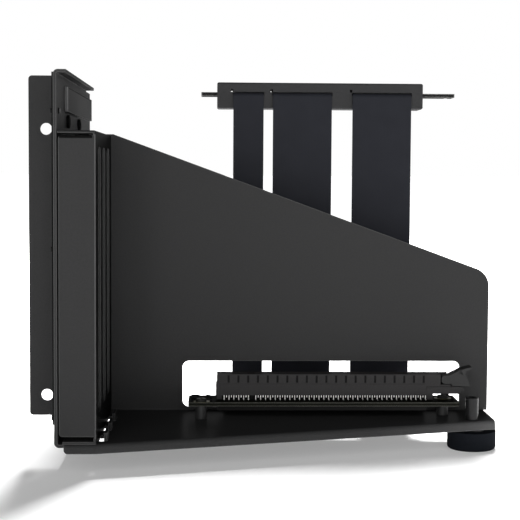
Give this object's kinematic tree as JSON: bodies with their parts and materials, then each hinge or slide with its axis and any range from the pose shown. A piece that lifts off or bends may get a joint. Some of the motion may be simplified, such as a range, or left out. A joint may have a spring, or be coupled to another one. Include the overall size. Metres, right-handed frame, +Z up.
{
  "type": "vertical graphics card mount",
  "caption": "Folded steel mount that stands a graphics card upright: windowed slot frame, rear plate, tall wall, card slot riser on ribbon leads with its plug, and a screw foot.",
  "frame": {"origin": "middle of the overall footprint, at the height of the foot's underside", "axes": "+X from the rear plate towards the foot, along the tall wall; +Y from the open front towards the main board; +Z up"},
  "size_m": [0.1862, 0.1322, 0.1507],
  "materials": {
    "frame_paint": "satin black powder coat",
    "tray_paint": "satin black powder coat",
    "strip_paint": "satin black powder coat",
    "rivet_paint": "satin black",
    "circuit_board": "black solder mask on glass fibre board",
    "black_plastic": "moulded black plastic",
    "chip_plastic": "moulded chip resin",
    "slot_plastic": "moulded black plastic",
    "contact_metal": "bright tinned spring metal",
    "latch_plastic": "moulded black plastic",
    "standoff_metal": "blackened metal",
    "screw_metal": "blackened steel",
    "ribbon_film": "black ribbed ribbon lead",
    "plug_circuit_board": "black board with gilt fingers",
    "plug_plastic": "moulded black plastic",
    "post_metal": "blackened turned metal",
    "stud_metal": "plain turned steel",
    "foot_plastic": "matte black rubber"
  },
  "bodies": {
    "mount": {"main_frame": "frame_paint", "slot_frame": "tray_paint", "rear_angle": "strip_paint", "frame_rivets": "rivet_paint", "angle_rivets": "rivet_paint", "riser_board": "circuit_board", "solder_cover": "black_plastic", "ribbon_clamp": "black_plastic", "board_parts": "chip_plastic", "slot_housing": "slot_plastic", "front_contacts": "contact_metal", "rear_contacts": "contact_metal", "riser_standoffs": "standoff_metal", "riser_screws": "screw_metal", "ribbon_narrow": "ribbon_film", "ribbon_middle": "ribbon_film", "ribbon_wide": "ribbon_film", "plug_board": "plug_circuit_board", "plug_shell_top": "plug_plastic", "plug_shell_bottom": "plug_plastic", "foot_post": "post_metal"},
    "latch": {"latch_lever": "latch_plastic"},
    "foot_rod": {"foot_stud": "stud_metal"},
    "foot_base": {"foot_pad": "foot_plastic"}
  },
  "joints": [
    {"name": "latch_open", "type": "hinge", "parent": "mount", "child": "latch", "pos_m": [0.07873, -0.00405, 0.02245], "axis": [0, 1, 0], "range_deg": [0, 30]},
    {"name": "foot_lift", "type": "slide", "parent": "mount", "child": "foot_rod", "axis": [0, 0, -1], "range_m": [0, 0.004]},
    {"name": "foot_spin", "type": "hinge", "parent": "foot_rod", "child": "foot_base", "pos_m": [0.08242, -0.0154, 0.0037], "axis": [0, 0, -1], "range_deg": [0, 2880]}
  ],
  "couplings": [
    {"joint": "foot_lift", "follows": "foot_spin", "m_per_rad": 0.000079577}
  ]
}
